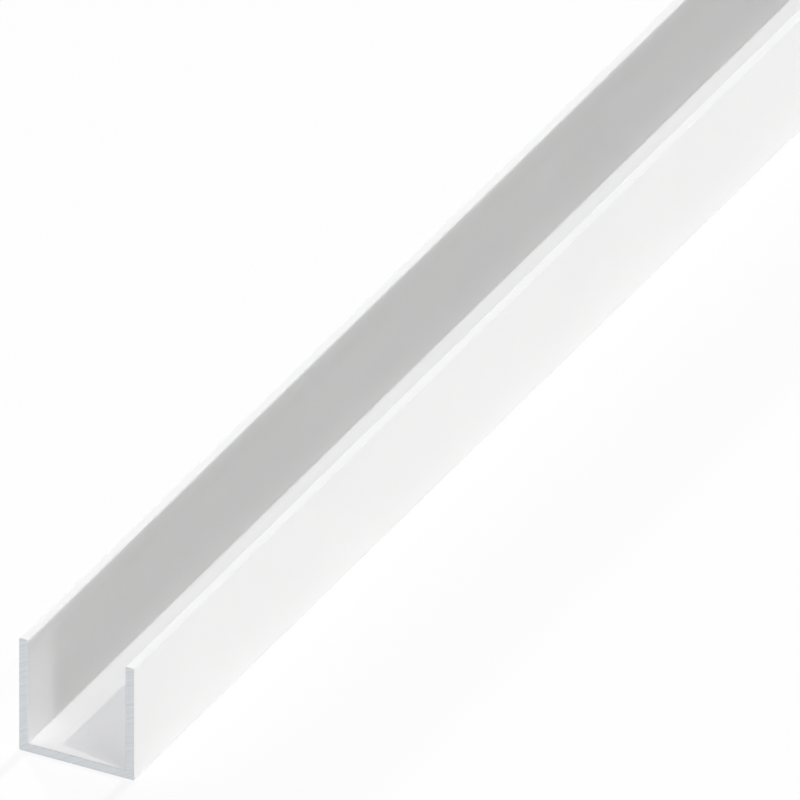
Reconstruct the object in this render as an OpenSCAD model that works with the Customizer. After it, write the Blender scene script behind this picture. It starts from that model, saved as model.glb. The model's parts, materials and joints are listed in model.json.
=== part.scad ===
// U-channel bar: an extruded aluminium section with two equal flanges, coated white
// and sawn square to length.
//
// The bar lies on its web with the open side up. The origin is at the middle of the
// web's underside: X runs across the section, Y along the bar and Z up the flanges.
// All sizes are in millimetres.

/* [Section] */
// Overall width, across the outside of both flanges
section_width = 20; // [10:0.5:60]
// Overall height, from the underside of the web to the flange tips
section_height = 20; // [10:0.5:60]
// Thickness of each flange
flange_thickness = 1.5; // [1:0.1:4]
// Thickness of the web that joins the two flanges
web_thickness = 1.5; // [1:0.1:4]

/* [Edges] */
// Radius on the outer corners and on the edges of the flange tips
edge_radius = 0.2; // [0.1:0.05:0.7]
// Fillet radius inside the channel, where each flange meets the web
root_radius = 0.2; // [0.1:0.05:1.5]

/* [Stock] */
// Length that the bar is sawn to
bar_length = 1000; // [200:50:3000]

/* [Hidden] */
// Clear width between the flanges
slot_width = section_width - 2 * flange_thickness;
// Largest share of a wall or of the slot that one radius may take: two of them then still fit
largest_radius_share = 0.49;
// Edge radius in use, limited by the thinner wall
edge_round = min(edge_radius, largest_radius_share * min(flange_thickness, web_thickness));
// Root radius in use, limited by the slot
root_round = min(root_radius, largest_radius_share * slot_width);
// Facets of a full circle where the section is previewed
$fn = 48;

// A flat bar seen end-on, with its lower left corner at the origin and all four corners rounded
module rounded_bar(width, height, radius) {
    translate([radius, 0]) square([width - 2 * radius, height]);
    translate([0, radius]) square([width, height - 2 * radius]);
    for (x = [radius, width - radius], y = [radius, height - radius])
        translate([x, y]) circle(radius);
}

// What fills a square inner corner at the origin, with its walls along +X and +Y, up to an arc
module corner_fillet(radius) {
    difference() {
        square(radius);
        translate([radius, radius]) circle(radius);
    }
}

// The web, lying flat across the full width of the section
module web_section() {
    translate([-section_width / 2, 0])
        rounded_bar(section_width, web_thickness, edge_round);
}

// The right-hand flange, standing on the section's underside
module flange_section() {
    translate([section_width / 2 - flange_thickness, 0])
        rounded_bar(flange_thickness, section_height, edge_round);
}

// The fillet in the inner corner at the foot of the right-hand flange
module root_section() {
    translate([slot_width / 2, web_thickness])
        mirror([1, 0]) corner_fillet(root_round);
}

// The whole section, with its open side up: the left half mirrors the right one
module channel_section() {
    web_section();
    for (flip = [0, 1])
        mirror([flip, 0]) {
            flange_section();
            root_section();
        }
}

// The bar: one extrusion of the section, with square-sawn ends
module u_channel() {
    color("whitesmoke")
        rotate([90, 0, 0])
            linear_extrude(bar_length, center = true)
                channel_section();
}

u_channel();
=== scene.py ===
"""Looks of a straight U-channel bar: aluminium, coated white, with bare sawn ends."""
import json
import math

import bmesh
import bpy
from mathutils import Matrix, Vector


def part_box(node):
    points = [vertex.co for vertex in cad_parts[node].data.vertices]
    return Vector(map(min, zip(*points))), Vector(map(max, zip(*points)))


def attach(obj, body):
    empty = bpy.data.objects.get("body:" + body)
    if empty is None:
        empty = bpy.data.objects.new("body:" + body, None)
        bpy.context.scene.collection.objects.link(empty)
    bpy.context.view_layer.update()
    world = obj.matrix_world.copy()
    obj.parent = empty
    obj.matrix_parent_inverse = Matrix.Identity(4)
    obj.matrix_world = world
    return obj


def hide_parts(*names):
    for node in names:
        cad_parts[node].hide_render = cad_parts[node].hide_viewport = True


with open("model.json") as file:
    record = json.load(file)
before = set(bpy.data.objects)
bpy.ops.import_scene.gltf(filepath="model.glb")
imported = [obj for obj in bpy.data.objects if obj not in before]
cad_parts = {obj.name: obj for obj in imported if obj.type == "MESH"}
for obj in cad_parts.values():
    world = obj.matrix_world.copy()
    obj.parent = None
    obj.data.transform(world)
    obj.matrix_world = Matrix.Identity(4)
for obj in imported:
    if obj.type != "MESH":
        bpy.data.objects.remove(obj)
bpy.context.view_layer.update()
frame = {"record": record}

MM = 0.001
QUARTER_TURN = math.radians(90)
WHITE = (1.0, 1.0, 1.0)

# Section of the bar: the web and both flanges are equally thick
MOUNTS = {mount["name"]: mount for mount in frame["record"]["mounts"]}
WALL = MOUNTS["slot_floor"]["pos_m"][2]
EDGE_RADIUS = 0.2 * MM
ROOT_RADIUS = 0.2 * MM
ARC_STEPS = 6

# Length of the bar: the saw leaves a small rounded break in the coat round the bare metal of each end
END_BREAK = 0.06 * MM
BREAK_STEPS = 3
LENGTH_STEPS = 40

# View of the photo, which is a parallel projection
CAMERA_AZIMUTH = math.radians(27.81)
CAMERA_ELEVATION = math.radians(30.98)
CAMERA_DISTANCE = 0.6
CAMERA_REACH = 20.0
IMAGE_SIDE_PX = 800
PX_PER_MM = 6.5026
FRONT_CORNER_PX = (134.18, 780.67)

# Range that a noise texture mostly stays in
NOISE_LOW = 0.3
NOISE_HIGH = 0.7

# White coat: how far apart its waves are, how fine, and how much height the bump gives them
COAT_COLOURS = ((0.842, 0.843, 0.842), (0.858, 0.857, 0.856))
COAT_ROUGHNESS = (0.57, 0.63)
COAT_SPECULAR = 0.4
TINT_PERIOD = 25 * MM
TINT_DETAIL = 2
PEEL_PERIOD = 2.4 * MM
PEEL_DETAIL = 1.5
PEEL_HEIGHT = 0.03 * MM
DIE_LINE_PERIOD = 1.1 * MM
DIE_LINE_DETAIL = 2
DIE_LINE_LENGTH = 400 * MM
DIE_LINE_HEIGHT = 0.003 * MM

# Sawn ends: the blade turns about an axis beside and below the bar
METAL_COLOURS = ((0.64, 0.665, 0.69), (0.68, 0.705, 0.73))
METAL_ROUGHNESS = (0.55, 0.42)
SAW_AXIS_X = 55 * MM
SAW_AXIS_Z = -95 * MM
SAW_MARK_PERIOD = 0.45 * MM
SAW_MARK_DETAIL = 3
SAW_MARK_HEIGHT = 0.006 * MM

# Plain white floor, which shows its own light only to what looks at it
FLOOR_SIDE = 8.0
FLOOR_DROP = 0.02 * MM
FLOOR_COLOUR = (0.9, 0.9, 0.9)
FLOOR_GLOW_SHARE = 0.9

# Studio lamps: name, then azimuth from +X towards the viewer, elevation and width as seen from the bar,
# all three in degrees, then strength and colour
LAMPS = (
    ("key", 10.8, 56.1, 1.0, 0.5, (1.0, 0.985, 0.93)),
    ("overhead", 270, 60, 3, 1.82, (0.965, 0.97, 1.0)),
    ("back", 225, 22, 6, 2.05, WHITE),
    ("side", 20, 31, 30, 0.52, WHITE),
    ("low_side", 0, 1.5, 2, 0.83, WHITE),
    ("low_front", 26, 6.5, 12, 0.38, WHITE),
)


def add_object(name, data):
    """A new object in the scene."""
    item = bpy.data.objects.new(name, data)
    bpy.context.scene.collection.objects.link(item)
    return item


def section_corners(inset):
    """Corners (x, z, radius) of the U outline, counter-clockwise, shrunk by inset on every side."""
    low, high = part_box("u_channel")
    half = high.x - inset
    base = low.z + inset
    tip = high.z - inset
    slot_half = high.x - WALL + inset
    slot_floor = low.z + WALL - inset
    edge = EDGE_RADIUS - inset
    root = ROOT_RADIUS + inset
    return [
        (-half, base, edge),
        (half, base, edge),
        (half, tip, edge),
        (slot_half, tip, edge),
        (slot_half, slot_floor, root),
        (-slot_half, slot_floor, root),
        (-slot_half, tip, edge),
        (-half, tip, edge),
    ]


def section_outline(inset):
    """Points of the outline with each corner as an arc, and the outward normal at each point."""
    corners = section_corners(inset)
    points = []
    for i, (x, z, radius) in enumerate(corners):
        corner = Vector((x, z))
        before = Vector(corners[i - 1][:2])
        after = Vector(corners[(i + 1) % len(corners)][:2])
        arriving = (corner - before).normalized()
        leaving = (after - corner).normalized()
        centre = corner + radius * (leaving - arriving)
        turn = math.copysign(1, arriving.x * leaving.y - arriving.y * leaving.x)
        for step in range(ARC_STEPS + 1):
            angle = QUARTER_TURN * step / ARC_STEPS
            spoke = arriving * math.sin(angle) - leaving * math.cos(angle)
            points.append((centre + radius * spoke, turn * spoke))
    return points


def bar_rings():
    """(y, inset, lean) of each ring along the bar. Lean is the angle that the surface turns to the end."""
    low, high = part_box("u_channel")
    straight = high.y - low.y - 2 * END_BREAK
    breaks = []
    for step in range(1, BREAK_STEPS + 1):
        lean = QUARTER_TURN * step / BREAK_STEPS
        breaks.append((END_BREAK * (1 - math.sin(lean)), END_BREAK * (1 - math.cos(lean)), lean))
    rings = [(low.y + depth, inset, -lean) for depth, inset, lean in reversed(breaks)]
    for step in range(LENGTH_STEPS + 1):
        rings.append((low.y + END_BREAK + straight * step / LENGTH_STEPS, 0.0, 0.0))
    rings += [(high.y - depth, inset, lean) for depth, inset, lean in breaks]
    return rings


def make_bar():
    """The whole bar as one closed mesh, with the coat in slot 0 and the bare ends in slot 1."""
    shape = bmesh.new()
    normals = []
    rings = []
    for y, inset, lean in bar_rings():
        across = math.cos(lean)
        ring = []
        for point, normal in section_outline(inset):
            ring.append(shape.verts.new((point.x, y, point.y)))
            normals.append((normal.x * across, math.sin(lean), normal.y * across))
        rings.append(ring)
    for ring, following in zip(rings, rings[1:]):
        for i in range(len(ring)):
            shape.faces.new((ring[i - 1], ring[i], following[i], following[i - 1]))
    for cap in (rings[0], list(reversed(rings[-1]))):
        shape.faces.new(cap).material_index = 1
    bmesh.ops.recalc_face_normals(shape, faces=shape.faces)
    mesh = bpy.data.meshes.new("u_channel_bar")
    shape.to_mesh(mesh)
    shape.free()
    mesh.shade_smooth()
    mesh.normals_split_custom_set_from_vertices(normals)
    mesh.materials.append(white_coat())
    mesh.materials.append(sawn_aluminium())
    bar = add_object("u_channel_bar", mesh)
    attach(bar, "root")
    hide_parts("u_channel")


def new_material(name):
    """A node material, its nodes, and its Principled shader."""
    material = bpy.data.materials.new(name)
    material.use_nodes = True
    return material, material.node_tree, material.node_tree.nodes["Principled BSDF"]


def vector_math(tree, operation, vector, value):
    """The outputs of an operation on a vector and a fixed value."""
    node = tree.nodes.new("ShaderNodeVectorMath")
    node.operation = operation
    node.inputs[1].default_value = value
    tree.links.new(vector, node.inputs[0])
    return node.outputs


def place_on_bar(tree):
    """Coordinates on the bar in metres."""
    return tree.nodes.new("ShaderNodeTexCoord").outputs["Object"]


def noise(tree, place, period, detail, dimensions="3D"):
    """Smooth noise from 0 to 1, whose waves are a period apart. A 1D place is a number, not a vector."""
    texture = tree.nodes.new("ShaderNodeTexNoise")
    texture.noise_dimensions = dimensions
    texture.inputs["Scale"].default_value = 1 / period
    texture.inputs["Detail"].default_value = detail
    tree.links.new(place, texture.inputs["W" if dimensions == "1D" else "Vector"])
    return texture.outputs["Fac"]


def bump(tree, height, distance, under=None):
    """A surface normal from a height of 0 to 1 that stands for a distance, on top of another normal."""
    node = tree.nodes.new("ShaderNodeBump")
    node.inputs["Distance"].default_value = distance
    tree.links.new(height, node.inputs["Height"])
    if under is not None:
        tree.links.new(under, node.inputs["Normal"])
    return node.outputs["Normal"]


def spread(tree, value, low, high):
    """A number between low and high, by a noise value."""
    node = tree.nodes.new("ShaderNodeMapRange")
    node.inputs["From Min"].default_value = NOISE_LOW
    node.inputs["From Max"].default_value = NOISE_HIGH
    node.inputs["To Min"].default_value = low
    node.inputs["To Max"].default_value = high
    tree.links.new(value, node.inputs["Value"])
    return node.outputs["Result"]


def blend_colours(tree, value, low, high):
    """A colour between two others, by a noise value."""
    ramp = tree.nodes.new("ShaderNodeValToRGB")
    first, last = ramp.color_ramp.elements
    first.position = NOISE_LOW
    first.color = (*low, 1)
    last.position = NOISE_HIGH
    last.color = (*high, 1)
    tree.links.new(value, ramp.inputs["Fac"])
    return ramp.outputs["Color"]


def white_coat():
    """Satin white powder coat: faint orange peel, and the die's lines along the bar just showing through."""
    material, tree, shader = new_material("white_coat")
    surface = place_on_bar(tree)
    stretch = (1, DIE_LINE_LENGTH / DIE_LINE_PERIOD, 1)
    along = vector_math(tree, "DIVIDE", surface, stretch)["Vector"]
    tint = noise(tree, surface, TINT_PERIOD, TINT_DETAIL)
    peel = noise(tree, surface, PEEL_PERIOD, PEEL_DETAIL)
    lines = noise(tree, along, DIE_LINE_PERIOD, DIE_LINE_DETAIL)
    normal = bump(tree, peel, PEEL_HEIGHT, bump(tree, lines, DIE_LINE_HEIGHT))
    shader.inputs["Specular IOR Level"].default_value = COAT_SPECULAR
    tree.links.new(blend_colours(tree, tint, *COAT_COLOURS), shader.inputs["Base Color"])
    tree.links.new(spread(tree, peel, *COAT_ROUGHNESS), shader.inputs["Roughness"])
    tree.links.new(normal, shader.inputs["Normal"])
    return material


def sawn_aluminium():
    """Bare metal of the sawn ends, with the arcs that the blade's teeth leave."""
    material, tree, shader = new_material("sawn_aluminium")
    on_end = vector_math(tree, "MULTIPLY", place_on_bar(tree), (1, 0, 1))["Vector"]
    reach = vector_math(tree, "DISTANCE", on_end, (SAW_AXIS_X, 0, SAW_AXIS_Z))["Value"]
    marks = noise(tree, reach, SAW_MARK_PERIOD, SAW_MARK_DETAIL, "1D")
    shader.inputs["Metallic"].default_value = 1.0
    tree.links.new(blend_colours(tree, marks, *METAL_COLOURS), shader.inputs["Base Color"])
    tree.links.new(spread(tree, marks, *METAL_ROUGHNESS), shader.inputs["Roughness"])
    tree.links.new(bump(tree, marks, SAW_MARK_HEIGHT), shader.inputs["Normal"])
    return material


def seen_directly(tree):
    """A socket that is 1 for what the camera, a reflection or a clear body shows, and 0 for lighting."""
    path = tree.nodes.new("ShaderNodeLightPath")
    seen = path.outputs["Is Camera Ray"]
    for name in ("Is Glossy Ray", "Is Transmission Ray"):
        either = tree.nodes.new("ShaderNodeMath")
        either.operation = "MAXIMUM"
        tree.links.new(seen, either.inputs[0])
        tree.links.new(path.outputs[name], either.inputs[1])
        seen = either.outputs[0]
    return seen


def make_floor():
    """A plain white floor that shows the bar's shadow faintly."""
    half = FLOOR_SIDE / 2
    corners = [(-half, -half, 0), (half, -half, 0), (half, half, 0), (-half, half, 0)]
    mesh = bpy.data.meshes.new("floor")
    mesh.from_pydata(corners, [], [(0, 1, 2, 3)])
    mesh.materials.append(white_floor())
    floor = add_object("floor", mesh)
    floor.location.z = -FLOOR_DROP


def white_floor():
    """White paper, part of its brightness its own where it is looked at, so that shadows on it stay pale."""
    material, tree, shader = new_material("white_floor")
    tree.nodes.remove(shader)
    diffuse = tree.nodes.new("ShaderNodeBsdfDiffuse")
    diffuse.inputs["Color"].default_value = (*FLOOR_COLOUR, 1)
    glow = tree.nodes.new("ShaderNodeEmission")
    share = tree.nodes.new("ShaderNodeMath")
    share.operation = "MULTIPLY"
    share.inputs[1].default_value = FLOOR_GLOW_SHARE
    mix = tree.nodes.new("ShaderNodeMixShader")
    tree.links.new(seen_directly(tree), share.inputs[0])
    tree.links.new(share.outputs[0], mix.inputs["Fac"])
    tree.links.new(diffuse.outputs[0], mix.inputs[1])
    tree.links.new(glow.outputs[0], mix.inputs[2])
    tree.links.new(mix.outputs[0], tree.nodes["Material Output"].inputs["Surface"])
    return material


def make_world():
    """White where it is looked at. It lights nothing: the lamps do."""
    world = bpy.data.worlds.new("studio")
    bpy.context.scene.world = world
    world.use_nodes = True
    tree = world.node_tree
    backdrop = tree.nodes["Background"]
    backdrop.inputs["Color"].default_value = (*WHITE, 1)
    tree.links.new(seen_directly(tree), backdrop.inputs["Strength"])


def make_lamp(name, azimuth, elevation, width, strength, colour):
    """A distant soft lamp."""
    data = bpy.data.lights.new(name, "SUN")
    data.energy = strength
    data.color = colour
    data.angle = math.radians(width)
    turn = math.radians(azimuth)
    rise = math.radians(elevation)
    level = math.cos(rise)
    direction = Vector((math.cos(turn) * level, -math.sin(turn) * level, math.sin(rise)))
    lamp = add_object(name, data)
    lamp.rotation_euler = direction.to_track_quat("Z", "Y").to_euler()


def make_camera():
    """A parallel camera that puts the bar's front corner where the photo has it."""
    data = bpy.data.cameras.new("camera")
    data.type = "ORTHO"
    data.ortho_scale = IMAGE_SIDE_PX / PX_PER_MM * MM
    data.clip_end = CAMERA_REACH
    level = math.cos(CAMERA_ELEVATION)
    back = Vector((
        math.sin(CAMERA_AZIMUTH) * level,
        -math.cos(CAMERA_AZIMUTH) * level,
        math.sin(CAMERA_ELEVATION),
    ))
    turn = back.to_track_quat("Z", "Y")
    low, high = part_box("u_channel")
    corner = Vector((high.x, low.y, low.z))
    across = (IMAGE_SIDE_PX / 2 - FRONT_CORNER_PX[0]) / PX_PER_MM * MM
    upward = (FRONT_CORNER_PX[1] - IMAGE_SIDE_PX / 2) / PX_PER_MM * MM
    camera = add_object("camera", data)
    camera.location = corner + turn @ Vector((across, upward, CAMERA_DISTANCE))
    camera.rotation_euler = turn.to_euler()
    bpy.context.scene.camera = camera


make_bar()
make_floor()
make_world()
for lamp in LAMPS:
    make_lamp(*lamp)
make_camera()
bpy.context.scene.view_settings.view_transform = "Standard"
